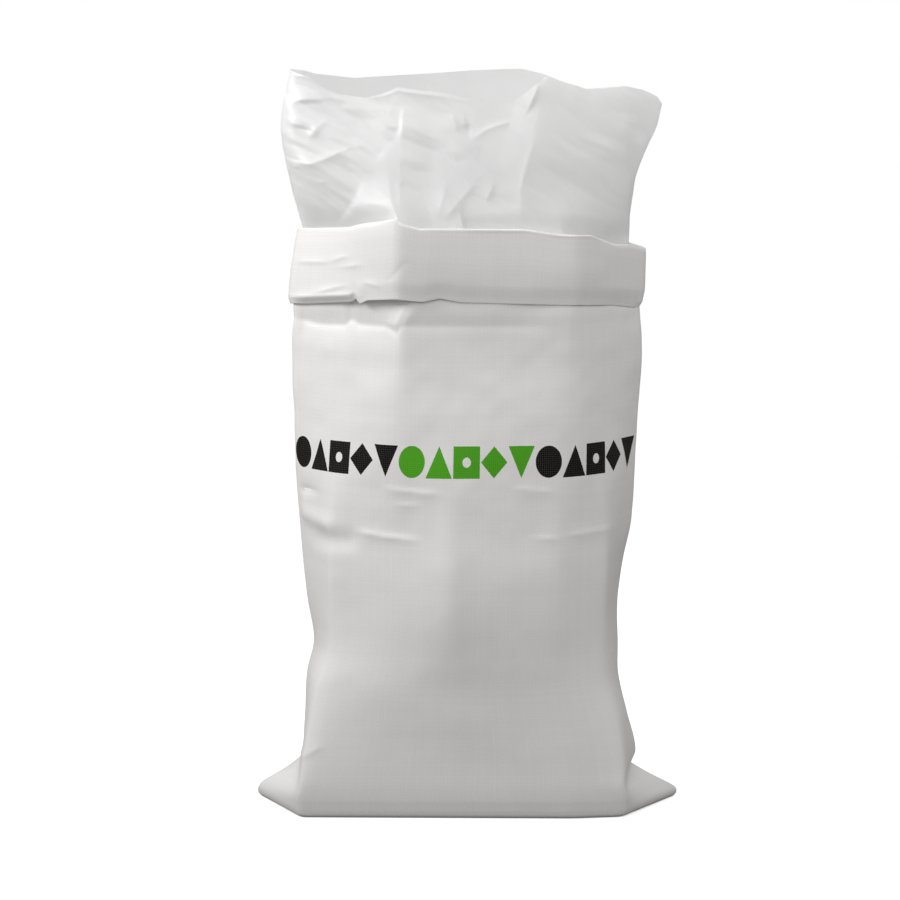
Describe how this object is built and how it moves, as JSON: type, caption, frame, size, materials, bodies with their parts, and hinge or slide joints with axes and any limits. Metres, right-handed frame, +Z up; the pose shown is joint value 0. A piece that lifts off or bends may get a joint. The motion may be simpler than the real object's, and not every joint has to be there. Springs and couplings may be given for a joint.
{
  "type": "bag of sugar",
  "caption": "Upright open woven sack of sugar with its mouth turned down in a cuff, a milky film bag standing up out of it, and flat sewn corners at the base.",
  "frame": {"origin": "middle of the box round the part, on the floor it stands on, under the middle of the base", "axes": "+Z up; +X to the right along the sack's flat width, from ear to ear; +Y to the back"},
  "size_m": [0.519, 0.2584, 0.889],
  "materials": {
    "woven_polypropylene": "plain-woven white tape cloth, satin",
    "polythene_film": "milky translucent blown film, soft gloss",
    "sugar_crystals": "fine white crystals, glittering matt"
  },
  "bodies": {
    "root": {"sack": "woven_polypropylene", "liner": "polythene_film", "sugar": "sugar_crystals"}
  },
  "joints": []
}
